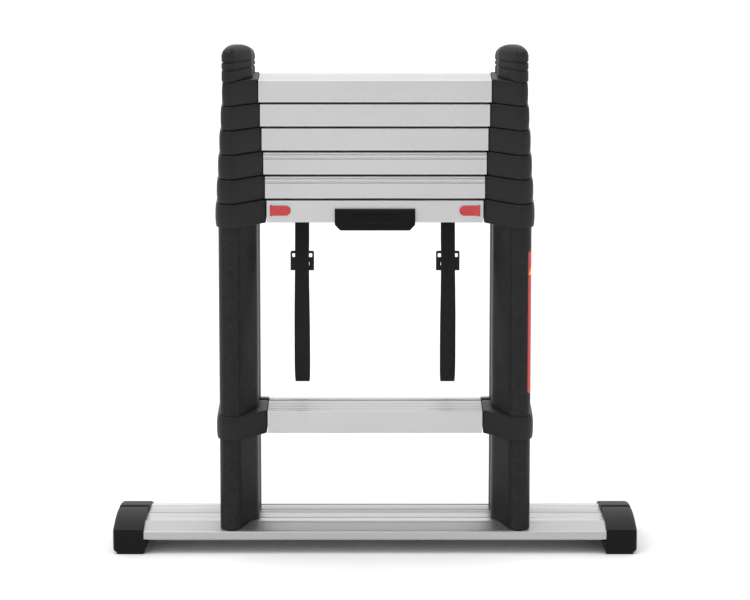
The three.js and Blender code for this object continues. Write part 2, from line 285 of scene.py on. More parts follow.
def rounded_polygon(corners, arc_points=6):
    """A counter-clockwise outline with filleted corners (a, b, radius): each fillet is an arc from one
    tangent point to the other, turning left at outer corners and right at inner ones."""
    c = np.asarray(corners, float)
    p, r = c[:, :2], c[:, 2]
    before, after = np.roll(p, 1, 0) - p, np.roll(p, -1, 0) - p
    before /= np.linalg.norm(before, axis=1)[:, None]
    after /= np.linalg.norm(after, axis=1)[:, None]
    half = np.arccos(np.clip((before * after).sum(1), -1, 1)) / 2
    middle = before + after
    middle /= np.linalg.norm(middle, axis=1)[:, None]
    centre = p + middle * (r / np.sin(half))[:, None]
    start = p + before * (r / np.tan(half))[:, None] - centre
    side = np.sign(before[:, 1] * after[:, 0] - before[:, 0] * after[:, 1])
    turn = (side * (np.pi - 2 * half))[:, None] * np.linspace(0, 1, arc_points)[None, :]
    cos, sin = np.cos(turn), np.sin(turn)
    x = centre[:, :1] + start[:, :1] * cos - start[:, 1:] * sin
    y = centre[:, 1:] + start[:, :1] * sin + start[:, 1:] * cos
    return np.stack([x, y], -1).reshape(-1, 2)


def leaning(y, z):
    """Height of the plane that leans like the treads and passes z at their front face."""
    return z + TREAD_SLOPE * (y - TREAD_FACE_Y)


def lifted(ring, height):
    """A plan ring (x, y) raised to the given height, a number or one for each point."""
    return np.dstack([ring[None], np.broadcast_to(height, (1, len(ring)))])[0]


def along_x(profile, x):
    """A (y, z) profile placed at x."""
    return np.column_stack([np.full(len(profile), x), profile])


def rung_z(section, rung):
    """Height of a tread's lower front edge, read from its CAD solid."""
    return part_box(f"{section}_tread_{rung}")[0].z / MM


def tread_end(section, rung):
    """Where a tread's socket ends along X: the end of the CAD tread and its clearance."""
    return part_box(f"{section}_tread_{rung}")[1].x / MM + CLEAR


def bar_top(y):
    """Height of the base bar's top over y: level at the back, falling to the front edge."""
    fall = (BAR_TOP - BAR_FRONT_TOP) / (BAR_BEND_Y - BAR_FRONT_Y)
    return np.where(y > BAR_BEND_Y, BAR_TOP, BAR_TOP + (y - BAR_BEND_Y) * fall)


def bar_corners(grow, slant_grow, radii):
    """Corners (y, z, radius) of the bar's outline moved outwards by grow, the front top by slant_grow."""
    front, back = BAR_FRONT_Y - grow, BAR_BACK_Y + grow
    low, high = BAR_BOTTOM - grow, BAR_TOP + grow
    corners = ((front, low), (back, low), (back, high), (BAR_BEND_Y, high),
               (front, BAR_FRONT_TOP + slant_grow))
    return [(y, z, r) for (y, z), r in zip(corners, radii)]


# ---------------------------------------------------------------- node groups

def new_group(name, inputs, outputs):
    """An empty node group with the named sockets: (name, kind, default)."""
    group = bpy.data.node_groups.new(name, "ShaderNodeTree")
    for label, kind, default in inputs:
        socket = group.interface.new_socket(name=label, in_out="INPUT", socket_type=kind)
        socket.default_value = default
    for label, kind in outputs:
        group.interface.new_socket(name=label, in_out="OUTPUT", socket_type=kind)
    return group, group.nodes.new("NodeGroupInput"), group.nodes.new("NodeGroupOutput")


def node(tree, kind, **values):
    """A new node with its settings."""
    made = tree.nodes.new(kind)
    for key, value in values.items():
        setattr(made, key, value)
    return made


def math_node(tree, operation, a, b):
    """The output of a Math node whose inputs are numbers or links."""
    made = node(tree, "ShaderNodeMath", operation=operation)
    for socket, value in zip(made.inputs, (a, b)):
        if isinstance(value, (int, float)):
            socket.default_value = value
        else:
            tree.links.new(value, socket)
    return made.outputs[0]


def grain_group():
    """Surface grain: noise on object coordinates stretched by a scale along each axis. Puts out a
    fine value and a broad value, both from 0 to 1."""
    found = bpy.data.node_groups.get("Surface Grain")
    if found:
        return found
    group, start, end = new_group(
        "Surface Grain",
        [("Scale", "NodeSocketVector", (1.0, 1.0, 1.0)), ("Broad Scale", "NodeSocketFloat", 12.0)],
        [("Fine", "NodeSocketFloat"), ("Broad", "NodeSocketFloat")])
    where = node(group, "ShaderNodeTexCoord")
    stretch = node(group, "ShaderNodeVectorMath", operation="MULTIPLY")
    fine = node(group, "ShaderNodeTexNoise")
    fine.inputs["Scale"].default_value = 1.0
    fine.inputs["Detail"].default_value = 5.0
    fine.inputs["Roughness"].default_value = 0.62
    broad = node(group, "ShaderNodeTexNoise")
    broad.inputs["Detail"].default_value = 3.0
    link = group.links.new
    link(where.outputs["Object"], stretch.inputs[0])
    link(start.outputs["Scale"], stretch.inputs[1])
    link(stretch.outputs[0], fine.inputs["Vector"])
    link(where.outputs["Object"], broad.inputs["Vector"])
    link(start.outputs["Broad Scale"], broad.inputs["Scale"])
    link(fine.outputs["Fac"], end.inputs["Fine"])
    link(broad.outputs["Fac"], end.inputs["Broad"])
    return group


def wear_group():
    """Handling wear: a mask that is strong where the surface is most convex, broken up by noise."""
    found = bpy.data.node_groups.get("Edge Wear")
    if found:
        return found
    group, start, end = new_group(
        "Edge Wear", [("Low", "NodeSocketFloat", 0.52), ("High", "NodeSocketFloat", 0.62)],
        [("Mask", "NodeSocketFloat")])
    shape = node(group, "ShaderNodeNewGeometry")
    where = node(group, "ShaderNodeTexCoord")
    spots = node(group, "ShaderNodeTexNoise")
    spots.inputs["Scale"].default_value = 140.0
    spots.inputs["Detail"].default_value = 4.0
    ramp = node(group, "ShaderNodeMapRange")
    link = group.links.new
    link(where.outputs["Object"], spots.inputs["Vector"])
    link(shape.outputs["Pointiness"], ramp.inputs["Value"])
    link(start.outputs["Low"], ramp.inputs["From Min"])
    link(start.outputs["High"], ramp.inputs["From Max"])
    link(math_node(group, "MULTIPLY", ramp.outputs[0], spots.outputs["Fac"]), end.inputs["Mask"])
    return group


def weave_group():
    """Webbing weave on the piece's own UV in metres: the product of two crossed sine waves makes the
    over-and-under, and a little of the lengthwise wave makes the ribs. Shade is that height made into a
    colour factor: painted shade in the weave's hollows and a painted highlight on its raised threads."""
    found = bpy.data.node_groups.get("Webbing Weave")
    if found:
        return found
    group, start, end = new_group(
        "Webbing Weave", [("Rib Pitch", "NodeSocketFloat", 0.0016)],
        [("Height", "NodeSocketFloat"), ("Shade", "NodeSocketFloat")])
    where = node(group, "ShaderNodeTexCoord")
    split = node(group, "ShaderNodeSeparateXYZ")
    link = group.links.new
    link(where.outputs["UV"], split.inputs[0])
    turns = math_node(group, "DIVIDE", 2 * math.pi, start.outputs["Rib Pitch"])
    across = math_node(group, "SINE", math_node(group, "MULTIPLY", split.outputs["X"], turns), 0.0)
    half_turns = math_node(group, "MULTIPLY", turns, 1.6)
    along = math_node(group, "SINE", math_node(group, "MULTIPLY", split.outputs["Y"], half_turns), 0.0)
    woven = math_node(group, "MULTIPLY", across, along)
    height = math_node(group, "ADD", math_node(group, "MULTIPLY", woven, 0.35),
                       math_node(group, "ADD", math_node(group, "MULTIPLY", along, 0.15), 0.5))
    link(height, end.inputs["Height"])
    # Shade: the height as a colour factor, painted shade in the hollows and painted highlight on the raised
    # threads.
    link(math_node(group, "ADD", math_node(group, "MULTIPLY", height, 0.6), 0.5), end.inputs["Shade"])
    return group


def use_group(tree, group, **values):
    """A node that holds the group, with values for its named inputs."""
    made = tree.nodes.new("ShaderNodeGroup")
    made.node_tree = group
    for key, value in values.items():
        made.inputs[key.replace("_", " ")].default_value = value
    return made


# ---------------------------------------------------------------- finishes

def blank_finish(name, metallic, specular):
    """A material with its own Principled shader, whose all-over values are set on its sockets."""
    finish = bpy.data.materials.new(name)
    finish.use_nodes = True
    shader = finish.node_tree.nodes["Principled BSDF"]
    shader.inputs["Metallic"].default_value = metallic
    shader.inputs["Specular IOR Level"].default_value = specular
    return finish, finish.node_tree, shader


def vary(tree, shader, base, grain, low, high, rough, bump, wear=None, worn=None):
    """Links colour, roughness and bump: the broad grain shifts colour between low and high times the
    base, the fine grain moves roughness, and a wear mask blends to the worn colour."""
    link = tree.links.new
    blend = node(tree, "ShaderNodeMix", data_type="RGBA")
    blend.inputs["A"].default_value = tuple(c * low for c in base[:3]) + (1.0,)
    blend.inputs["B"].default_value = tuple(min(1.0, c * high) for c in base[:3]) + (1.0,)
    link(grain.outputs["Broad"], blend.inputs["Factor"])
    colour_out = blend.outputs["Result"]
    if wear is not None:
        worn_mix = node(tree, "ShaderNodeMix", data_type="RGBA")
        worn_mix.inputs["B"].default_value = worn
        link(wear.outputs["Mask"], worn_mix.inputs["Factor"])
        link(colour_out, worn_mix.inputs["A"])
        colour_out = worn_mix.outputs["Result"]
    link(colour_out, shader.inputs["Base Color"])
    spread = node(tree, "ShaderNodeMapRange")
    spread.inputs["To Min"].default_value = rough[0]
    spread.inputs["To Max"].default_value = rough[1]
    link(grain.outputs["Fine"], spread.inputs["Value"])
    link(spread.outputs[0], shader.inputs["Roughness"])
    relief = node(tree, "ShaderNodeBump")
    relief.inputs["Strength"].default_value = bump[0]
    relief.inputs["Distance"].default_value = bump[1]
    link(grain.outputs["Fine"], relief.inputs["Height"])
    link(relief.outputs[0], shader.inputs["Normal"])


def extruded_finish():
    """Satin mill aluminium with fine die lines along the extrusion."""
    finish, tree, shader = blank_finish("Extruded Aluminium", 0.85, 0.4)
    grain = use_group(tree, grain_group(), Scale=(6.0, 1500.0, 1500.0), Broad_Scale=9.0)
    vary(tree, shader, colour("aluminium"), grain, 0.94, 1.05, (0.33, 0.47), (0.12, 0.0002))
    return finish


def brushed_finish():
    """Brushed aluminium of the base bars, smoother than the treads, and darker than them as painted shade for
    the shade and dark reflections under the treads.
    """
    finish, tree, shader = blank_finish("Brushed Aluminium", 0.92, 0.4)
    grain = use_group(tree, grain_group(), Scale=(9.0, 1100.0, 1100.0), Broad_Scale=7.0)
    # Painted shade: the darker bar colour stands for the shade under the treads.
    vary(tree, shader, colour("bar"), grain, 0.95, 1.05, (0.26, 0.4), (0.1, 0.0002))
    return finish


def coated_finish():
    """Dark satin coating on the tubes, with long faint slide marks."""
    finish, tree, shader = blank_finish("Coated Tube", 0.0, 0.14)
    grain = use_group(tree, grain_group(), Scale=(900.0, 900.0, 14.0), Broad_Scale=6.0)
    wear = use_group(tree, wear_group(), Low=0.53, High=0.66)
    vary(tree, shader, colour("stile"), grain, 0.9, 1.12, (0.3, 0.4), (0.03, 0.0002),
         wear, grey(0.03))
    return finish


def moulded_finish():
    """Fine spark texture of moulded plastic."""
    finish, tree, shader = blank_finish("Moulded Plastic", 0.0, 0.23)
    grain = use_group(tree, grain_group(), Scale=(2600.0, 2600.0, 2600.0), Broad_Scale=22.0)
    wear = use_group(tree, wear_group(), Low=0.53, High=0.68)
    vary(tree, shader, colour("plastic"), grain, 0.84, 1.2, (0.36, 0.5), (0.12, 0.00025),
         wear, (0.035, 0.035, 0.036, 1.0))
    return finish


def grip_finish():
    """Soft-touch black of the grip handle, finer and darker than the collars."""
    finish, tree, shader = blank_finish("Grip Black", 0.0, 0.1)
    grain = use_group(tree, grain_group(), Scale=(3200.0, 3200.0, 3200.0), Broad_Scale=35.0)
    wear = use_group(tree, wear_group(), Low=0.53, High=0.68)
    vary(tree, shader, grey(0.0045), grain, 0.85, 1.2, (0.38, 0.52), (0.1, 0.0002),
         wear, grey(0.02))
    return finish


def rubber_finish():
    """Matt moulded rubber with a broad cloudy shade."""
    finish, tree, shader = blank_finish("Foot Rubber", 0.0, 0.13)
    grain = use_group(tree, grain_group(), Scale=(1700.0, 1700.0, 1700.0), Broad_Scale=30.0)
    wear = use_group(tree, wear_group(), Low=0.53, High=0.7)
    vary(tree, shader, colour("rubber"), grain, 0.75, 1.4, (0.42, 0.6), (0.16, 0.0003),
         wear, grey(0.028))
    return finish


def red_finish():
    """Satin red plastic of the release buttons."""
    finish, tree, shader = blank_finish("Release Red", 0.0, 0.4)
    grain = use_group(tree, grain_group(), Scale=(2200.0, 2200.0, 2200.0), Broad_Scale=60.0)
    vary(tree, shader, colour("red"), grain, 0.88, 1.12, (0.3, 0.44), (0.1, 0.0002))
    return finish


def plated_finish():
    """Zinc-plated steel of pins, bolts and screws."""
    finish, tree, shader = blank_finish("Plated Steel", 0.95, 0.5)
    grain = use_group(tree, grain_group(), Scale=(1200.0, 1200.0, 1200.0), Broad_Scale=80.0)
    vary(tree, shader, (0.42, 0.43, 0.44, 1.0), grain, 0.8, 1.15, (0.26, 0.46), (0.1, 0.0002))
    return finish


def screw_finish():
    """Blackened screw head."""
    finish, tree, shader = blank_finish("Blackened Screw", 0.3, 0.4)
    grain = use_group(tree, grain_group(), Scale=(1600.0, 1600.0, 1600.0), Broad_Scale=90.0)
    vary(tree, shader, (0.01, 0.01, 0.011, 1.0), grain, 0.7, 1.3, (0.35, 0.55), (0.12, 0.0002))
    return finish


def webbing_finish():
    """Woven polyester webbing: ribs and a soft sheen, with its colour painted darker in the weave's hollows
    and lighter on its raised threads as painted shade and highlight.
    """
    finish, tree, shader = blank_finish("Woven Webbing", 0.0, 0.2)
    shader.inputs["Roughness"].default_value = 0.8
    shader.inputs["Sheen Weight"].default_value = 0.06
    shader.inputs["Sheen Roughness"].default_value = 0.5
    weave = use_group(tree, weave_group(), Rib_Pitch=0.0016)
    base = colour("webbing")
    blend = node(tree, "ShaderNodeMix", data_type="RGBA")
    blend.inputs["A"].default_value = tuple(c * 0.55 for c in base[:3]) + (1.0,)
    blend.inputs["B"].default_value = tuple(c * 1.35 for c in base[:3]) + (1.0,)
    relief = node(tree, "ShaderNodeBump")
    relief.inputs["Strength"].default_value = 0.6
    relief.inputs["Distance"].default_value = 0.0004
    # Painted shade and highlight: the colour runs from darkened to lightened webbing with the weave's height.
    tree.links.new(weave.outputs["Shade"], blend.inputs["Factor"])
    tree.links.new(blend.outputs["Result"], shader.inputs["Base Color"])
    tree.links.new(weave.outputs["Height"], relief.inputs["Height"])
    tree.links.new(relief.outputs[0], shader.inputs["Normal"])
    return finish


def label_finish():
    """Printed red of the label."""
    finish, tree, shader = blank_finish("Printed Label", 0.0, 0.45)
    grain = use_group(tree, grain_group(), Scale=(700.0, 700.0, 700.0), Broad_Scale=40.0)
    vary(tree, shader, (0.5, 0.016, 0.015, 1.0), grain, 0.92, 1.08, (0.28, 0.38), (0.04, 0.0001))
    return finish


def yellow_finish():
    """Printed yellow of the label's triangle."""
    finish, tree, shader = blank_finish("Printed Yellow", 0.0, 0.45)
    grain = use_group(tree, grain_group(), Scale=(700.0, 700.0, 700.0), Broad_Scale=40.0)
    vary(tree, shader, (0.85, 0.5, 0.02, 1.0), grain, 0.93, 1.06, (0.28, 0.38), (0.04, 0.0001))
    return finish


FINISHES = {
    "aluminium": extruded_finish, "bar": brushed_finish, "stile": coated_finish, "plastic": moulded_finish,
    "grip": grip_finish, "rubber": rubber_finish, "red": red_finish, "steel": plated_finish,
    "screw": screw_finish, "webbing": webbing_finish, "label": label_finish, "yellow": yellow_finish,
}
_made = {}


def finish_of(name):
    """The named finish, made the first time that it is asked for."""
    if name not in _made:
        _made[name] = FINISHES[name]()
    return _made[name]


# ---------------------------------------------------------------- shapes

def tube_shape(stage, foot_z, top_z):
    """A tube wall: the stile outline carried up the height outside and down inside. The lowest tube
    is cut to the base bar's top, and every top leans like the treads."""
    inset = TUBE_STEP * (stage - 1)
    outer, inner = refined([hull_ring(STILE_CORNERS, -inset, crease=0.55),
                            hull_ring(STILE_CORNERS, -inset - TUBE_WALL)], 5.0)
    low = [bar_top(ring[:, 1]) + 0.4 if stage == 1 else foot_z for ring in (outer, inner)]
    rows = [lifted(outer, low[0]), lifted(outer, leaning(outer[:, 1], top_z)),
            lifted(inner, leaning(inner[:, 1], top_z)), lifted(inner, low[1])]
    return hoop(np.array(rows))


def collar_shape(section, rung, grow, bore):
    """A moulded collar. Up its height the outer wrap swells by a crown, (1 - s^2) with s from -1 to 1,
    and turns in over a quarter circle at each edge; then it goes down the bore."""
    end = tread_end(section, rung)
    socket = [(end + SOCKET_WALL, y, SOCKET_WALL)
              for y in (TREAD_FACE_Y + SOCKET_WALL, TREAD_BACK_Y - SOCKET_WALL)]
    corners = [(x, y, r + grow) for x, y, r in STILE_CORNERS] + socket
    wrap, inward, hole = refined([hull_ring(corners, 0.0, crease=0.35), hull_ring(corners, -1.0, crease=0.35),
                                  hull_ring(STILE_CORNERS, bore)], 4.0)
    edge = 1.3
    quarter = np.linspace(0, np.pi / 2, 5)
    low = edge * (1 - np.cos(quarter))
    level = np.concatenate([low, np.linspace(edge, COLLAR_HEIGHT - edge, 11)[1:-1],
                            COLLAR_HEIGHT - low[::-1]])
    corner = edge * (1 - np.sin(quarter))
    turn_in = np.concatenate([corner, np.zeros(9), corner[::-1]])
    s = 2 * level / COLLAR_HEIGHT - 1
    crown = sizes().collar_crown / MM
    shrink = turn_in + crown * np.abs(s) ** 2.4
    base = rung_z(section, rung) - COLLAR_DROP
    rings = [wrap + (inward - wrap) * k for k in shrink]
    rows = [lifted(ring, leaning(ring[:, 1], base + h)) for ring, h in zip(rings, level)]
    rows += [lifted(hole, leaning(hole[:, 1], base + h)) for h in (COLLAR_HEIGHT, 0.0)]
    return hoop(np.array(rows))


def tread_outline(z, inset, radii):
    """The (y, z) outline of a tread: a box that leans back, with rounded edges."""
    y0, y1 = TREAD_FACE_Y + inset, TREAD_BACK_Y - inset
    low, high = z + inset, z + TREAD_HEIGHT - inset
    front, back = radii
    return rounded_polygon([(y0, leaning(y0, low), front), (y1, leaning(y1, low), back),
                            (y1, leaning(y1, high), back), (y0, leaning(y0, high), front)])


def groove(value, centre, half_width):
    """A groove's share of depth across it: 1 in the middle, falling steeply to 0 at its edges."""
    return np.exp(-((value - centre) / half_width) ** 6)


def tread_shape(section, rung):
    """A hollow tread: its outline carried along X. Grip grooves sink into the top, and two lines cut
    into the front face of the beaded treads leave a bead between them."""
    z = rung_z(section, rung)
    outer, inner = refined([tread_outline(z, 0.0, (1.6, 1.6)),
                            tread_outline(z, TREAD_WALL, (0.5, 0.5))], 0.45)
    depth = sizes().groove_depth / MM
    top = leaning(outer[:, 0], z + TREAD_HEIGHT)
    on_top = top - outer[:, 1] < 0.6
    sink = sum(groove(outer[:, 0], y, 1.5) for y in GRIP_GROOVES_Y)
    outer[:, 1] -= np.where(on_top, depth * sink, 0.0)
    on_face = (outer[:, 0] - TREAD_FACE_Y < 0.6) & (outer[:, 1] < z + TREAD_HEIGHT - 1.2)
    drop = z + TREAD_HEIGHT - outer[:, 1]
    if rung in BEADED_RUNGS:
        cut = 1.7 * groove(drop, 8.0, 1.1) + 1.5 * groove(drop, 2.2, 1.0)
        outer[:, 0] += np.where(on_face, cut, 0.0)
    end = tread_end(section, rung) - CLEAR
    rows = [along_x(outer, -end), along_x(outer, end), along_x(inner, end), along_x(inner, -end)]
    return hoop(np.array(rows))


def bar_shape():
    """A base bar: its hollow outline carried along X. The level top sinks into a shallow valley with a
    rib and three grooves, and two fine lines run along the slant."""
    skin = rounded_polygon(bar_corners(0.0, 0.0, (1.2, 1.2, 0.8, 0.8, 1.6)))
    hollow = rounded_polygon(bar_corners(-BAR_WALL, -BAR_SLANT_WALL, (0.4,) * 5))
    outer, inner = refined([skin, hollow], 0.6)
    y = outer[:, 0]
    valley = np.interp(y, [-56, -52, -23, -9, -5], [0, 0.5, 2.1, 0.6, 0])
    rib = 0.9 * groove(y, -29.0, 1.6)
    lines = 1.1 * (groove(y, -53.5, 1.2) + groove(y, -40.0, 1.3) + groove(y, -12.0, 1.4))
    outer[:, 1] -= np.where(outer[:, 1] > BAR_TOP - 0.6, valley - rib + lines, 0.0)
    slant = (outer[:, 1] > BAR_FRONT_TOP + 0.4) & (y < BAR_BEND_Y - 1)
    outer[:, 1] -= np.where(slant, 0.35 * (groove(y, -64.5, 0.5) + groove(y, -90.0, 0.5)), 0.0)
    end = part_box("front_bar")[1].x / MM
    rows = [along_x(outer, -end), along_x(outer, end), along_x(inner, end), along_x(inner, -end)]
    return hoop(np.array(rows))


def seen_from(centre, rings):
    """Matched rings: each ring's distance from a shared centre, read at the angles of all of them."""
    polar = [(np.arctan2(*(ring - centre).T[::-1]), np.linalg.norm(ring - centre, axis=1)) for ring in rings]
    angle = np.sort(np.concatenate([a for a, _ in polar]))
    angle = angle[np.diff(angle, prepend=-9.0) > 2e-3]
    way = np.stack([np.cos(angle), np.sin(angle)], -1)
    return [centre + way * np.interp(angle, a, r, period=2 * np.pi)[:, None] for a, r in polar]


def foot_shape():
    """An end foot: from the floor of its pocket along the pocket's wall, over the inner face, then
    along X on a side outline whose crown falls as t^2.2, drawn in at the end over a quarter circle."""
    low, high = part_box("front_foot_right")
    t = np.linspace(0, 1, 15)
    y0, y1 = low.y / MM, high.y / MM
    crown = np.column_stack([y1 + (y0 - y1) * t, FOOT_TOP - FOOT_FALL * t ** 2.2])
    side = refined([np.vstack([[(y0 + 0.6, FOOT_BOTTOM), (y1 - 0.6, FOOT_BOTTOM)], crown])], 1.5)[0]
    back_edge = 4.2 * np.exp(-((y1 - side[:, 0]) / 2.6) ** 2)
    side[:, 1] -= np.where(side[:, 1] > FOOT_TOP - 10, back_edge, 0.0)
    pocket = refined([rounded_polygon(bar_corners(0.3, 0.3, (0.5,) * 5))], 1.5)[0]
    centre = np.array([(y0 + y1) / 2, 27.0])
    side, pocket = seen_from(centre, [side, pocket])
    offset = side - centre
    reach = np.abs(offset).max(0)
    x0, x1 = FOOT_INNER_X, high.x / MM
    turn = np.linspace(0, np.pi / 2, 7)
    radius = 5.5
    xs = np.concatenate([[x0, x0 + 0.7, x1 - radius - 9], x1 - radius + radius * np.sin(turn)])
    pull = np.concatenate([[0.7, 0.0, 0.0], radius * (1 - np.cos(turn))])
    rows = [along_x(pocket, FOOT_POCKET_X), along_x(pocket, x0)]
    rows += [along_x(centre + offset * (1 - k / reach), x) for x, k in zip(xs, pull)]
    return capped(np.array(rows))


def sole_shape():
    """The sole pad under a foot: a rounded plan outline carried up, 1 mm smaller where it meets the
    floor."""
    low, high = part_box("front_foot_right")
    y0, y1 = low.y / MM + 1.2, high.y / MM - 1.2
    x0, x1, radius = 327.0, 364.5, 3.0
    pad, contact = (rounded_polygon([(x0 + k, y0 + k, radius), (x1 - k, y0 + k, radius),
                                     (x1 - k, y1 - k, radius), (x0 + k, y1 - k, radius)]) for k in (0, 1))
    rows = [lifted(contact, 0.0), lifted(pad, 1.0), lifted(pad, FOOT_BOTTOM + 0.3)]
    return capped(np.array(rows))


def tongue_shape():
    """The bevelled tongue of a foot under the bar: a wedge carried along Y."""
    low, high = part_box("front_foot_right")
    y0, y1 = low.y / MM + 0.8, high.y / MM - 0.8
    profile = refined([np.array([(327.0, 0.4), (327.0, 19.4), (320.7, 19.4), (326.0, 0.4)])], 6.0)[0]
    rows = [np.column_stack([profile[:, 0], np.full(len(profile), y), profile[:, 1]]) for y in (y0, y1)]
    return capped(np.array(rows))


def cap_shape(drop):
    """A top cap: the stile outline drawn up with two rounded grooves, a crisp crease and a dome that
    shrinks about the outline's middle as sqrt(1 - 0.9 s^2) over its height. The rear caps stand lower
    by drop."""
    base = rung_z("front", RUNGS) - COLLAR_DROP + COLLAR_HEIGHT + CLEAR
    plug = hull_ring(STILE_CORNERS, -(TUBE_STEP * (STAGES - 1) + TUBE_WALL + CLEAR))
    crease = CAP_CREASE_Z - drop
    low = leaning(hull_ring(STILE_CORNERS, -CAP_INSET)[:, 1], base)
    rows = [lifted(plug, leaning(plug[:, 1], base - CAP_PLUG)), lifted(plug, leaning(plug[:, 1], base)),
            lifted(hull_ring(STILE_CORNERS, -CAP_INSET - 1.0), low)]
    for s in np.linspace(0, 1, 60):
        height = (low + 1.0) * (1 - s) + crease * s
        level = base + (crease - base) * s
        dip = 1.5 * (groove(level, 681.1 - drop * 0.4, 1.2) + groove(level, 691.3 - drop * 0.7, 1.2))
        rows.append(lifted(hull_ring(STILE_CORNERS, -CAP_INSET - dip), height))
    shoulder = hull_ring(STILE_CORNERS, -CAP_INSET - 0.6)
    middle = (shoulder.min(0) + shoulder.max(0)) / 2
    for s in np.linspace(0.03, 1, 16):
        drawn_in = middle + (shoulder - middle) * math.sqrt(1 - 0.9 * s * s)
        rows.append(lifted(drawn_in, crease + CAP_DOME * s))
    return capped(np.array(rows))


def lug_shape(x0, x1):
    """A hinge lug: a plate with a round end about the hinge line, its outline carried along X."""
    front_y, back_y, low_z = -13.4, -4.0, 664.0
    angle = np.radians(np.linspace(-15, 180, 20))
    arc = np.column_stack([LUG_RADIUS * np.cos(angle), HINGE_Z + LUG_RADIUS * np.sin(angle)])
    plate = np.vstack([[(front_y, low_z), (back_y, low_z)], arc, [(front_y, HINGE_Z)]])
    plate = refined([plate], 3.0)[0]
    return capped(np.array([along_x(plate, x0), along_x(plate, x1)]))


def strap_shape():
    """A webbing loop: a band carried along a teardrop line (y, z), threaded through its buckle and
    turned a little about the vertical lower down, by a share that grows evenly below the buckle.
    Returns the shape, its UV in metres and the band's length in millimetres."""
    knots = np.array([
        (1.2, 487.6), (1.2, 455), (1.2, 428), (1.1, 418.2), (0.6, 416), (-1.5, 413.8), (-3.5, 411.6),
        (-3.9, 409.4), (-3.9, 405.8), (-3.5, 403.5), (-1.5, 401.4), (0.6, 399.2), (1.1, 397), (1.2, 390),
        (1.2, 340), (1.0, 270), (-3.5, 247), (-17, 235.6), (-31, 242), (-36.6, 262), (-34.5, 310),
        (-24, 380), (-12, 440), (-6.4, 470), (-5.2, 482), (-4.4, 487.8), (-2, 489.2), (0, 489.0)])
    line = smooth_line(knots, 10)
    step = np.linalg.norm(np.diff(line, axis=0), axis=1)
    run = np.concatenate([[0], np.cumsum(step)])
    tangent = np.gradient(line, axis=0)
    tangent /= np.linalg.norm(tangent, axis=1)[:, None]
    normal = np.column_stack([tangent[:, 1], -tangent[:, 0]])
    thick = sizes().strap_thickness / MM / 2
    across = STRAP_HALF * np.array([-1.0, -0.96, -0.5, 0.0, 0.5, 0.96, 1.0])
    lift = thick * np.array([0.0, 1.0, 1.0, 1.0, 1.0, 1.0, 0.0])
    u = np.concatenate([across, across[-2:0:-1]])
    rise = np.concatenate([lift, -lift[-2:0:-1]])
    yz = line[:, None, :] + normal[:, None, :] * rise[None, :, None]
    turned = np.clip((440.0 - yz[..., 1]) / 110.0, 0, 1) * 0.085 * (yz[..., 0] + 17.0)
    x = STRAP_X + u[None, :] + turned
    rings = np.dstack([np.broadcast_to(x, yz.shape[:2]), yz])
    uv = MM * np.dstack([np.broadcast_to(u[None, :], x.shape), np.broadcast_to(run[:, None], x.shape)])
    return capped(rings[:, ::-1]), uv[:, ::-1], run[-1]


def grip_shape():
    """The grip handle: its side outline carried along X. A slanting line lifts the outline at both ends
    and so cuts the lower corners, a ramped step sinks the front into a shallow panel, and the ends are
    rounded by a quarter circle."""
    profile = rounded_polygon([
        (-66.5, 457.2, 0.7), (-65, 455.7, 0.7), (-46, 457.6, 0.8), (-46, 465.4, 0.5), (-60.2, 463.8, 0.5),
        (-60.2, 485.8, 0.4), (-64.5, 485.8, 0.7), (-66.5, 484, 0.7)], 4)
    profile = refined([profile], 0.8)[0]
    reach, panel_half, corner_start, edge_radius = 56.3, 34.4, 47.8, 0.8
    half = np.unique(np.concatenate([np.linspace(0, 32, 9), np.linspace(33, 35, 6), np.linspace(36, 47, 5),
                                     np.linspace(47.6, reach - edge_radius, 14), [reach - 0.3, reach]]))
    rows = []
    for x in np.concatenate([-half[:0:-1], half]):
        y, z = profile[:, 0].copy(), profile[:, 1].copy()
        span = np.clip((panel_half - abs(x)) / 0.8, 0, 1)
        panel = np.clip((z - 466.6) / 0.8, 0, 1) * np.clip((478.9 - z) / 0.8, 0, 1) * span
        y += np.where(y < -66.2, panel, 0.0)
        z = np.maximum(z, 455.0 + 1.05 * max(0.0, abs(x) - corner_start))
        round_share = min(1.0, max(0.0, (abs(x) - reach + edge_radius) / edge_radius))
        edge = edge_radius * (1 - math.sqrt(1 - round_share ** 2))
        y = np.where(y < -61, y + edge, y)
        rows.append(np.column_stack([np.full(len(y), x), y, z]))
    return capped(np.array(rows))


def front_rows(ring, levels, centre):
    """Rings in the XZ plane stacked towards the front: each level is (y, how far it is drawn in)."""
    offset = ring - centre
    reach = np.abs(offset).max(0)
    rows = []
    for y, draw in levels:
        flat = centre + offset * (1 - draw / reach)
        rows.append(np.column_stack([flat[:, 0], np.full(len(flat), y), flat[:, 1]]))
    return np.array(rows)


def button_shape():
    """A release button: a tab with a round inner end and a flared outer end, its stem and its block,
    each an outline carried along Y."""
    z = BUTTON_Z
    tab = rounded_polygon([(118.1, z - 6.9, 6.8), (141.5, z - 6.9, 7.0), (147.0, z - 8.1, 0.7),
                           (147.0, z + 8.1, 0.7), (141.5, z + 6.9, 7.0), (118.1, z + 6.9, 6.8)], 9)
    levels = [(-60.2, 0.0), (-62.2, 0.0), (-62.8, 0.2), (-63.15, 0.6), (-63.2, 1.3), (-62.9, 2.0)]
    stem = rounded_polygon([(131, z - 4, 0.6), (139, z - 4, 0.6), (139, z + 4, 0.6), (131, z + 4, 0.6)])
    block = rounded_polygon([(129, z - 6, 1), (141, z - 6, 1), (141, z + 6, 1), (129, z + 6, 1)])
    drive = np.array([135.0, z])
    return joined(capped(front_rows(tab, levels, np.array([133.0, z]))),
                  capped(front_rows(stem, [(-47.0, 0.0), (-60.4, 0.0)], drive)),
                  capped(front_rows(block, [(-36.0, 0.4), (-36.4, 0.0), (-48.0, 0.0)], drive)))


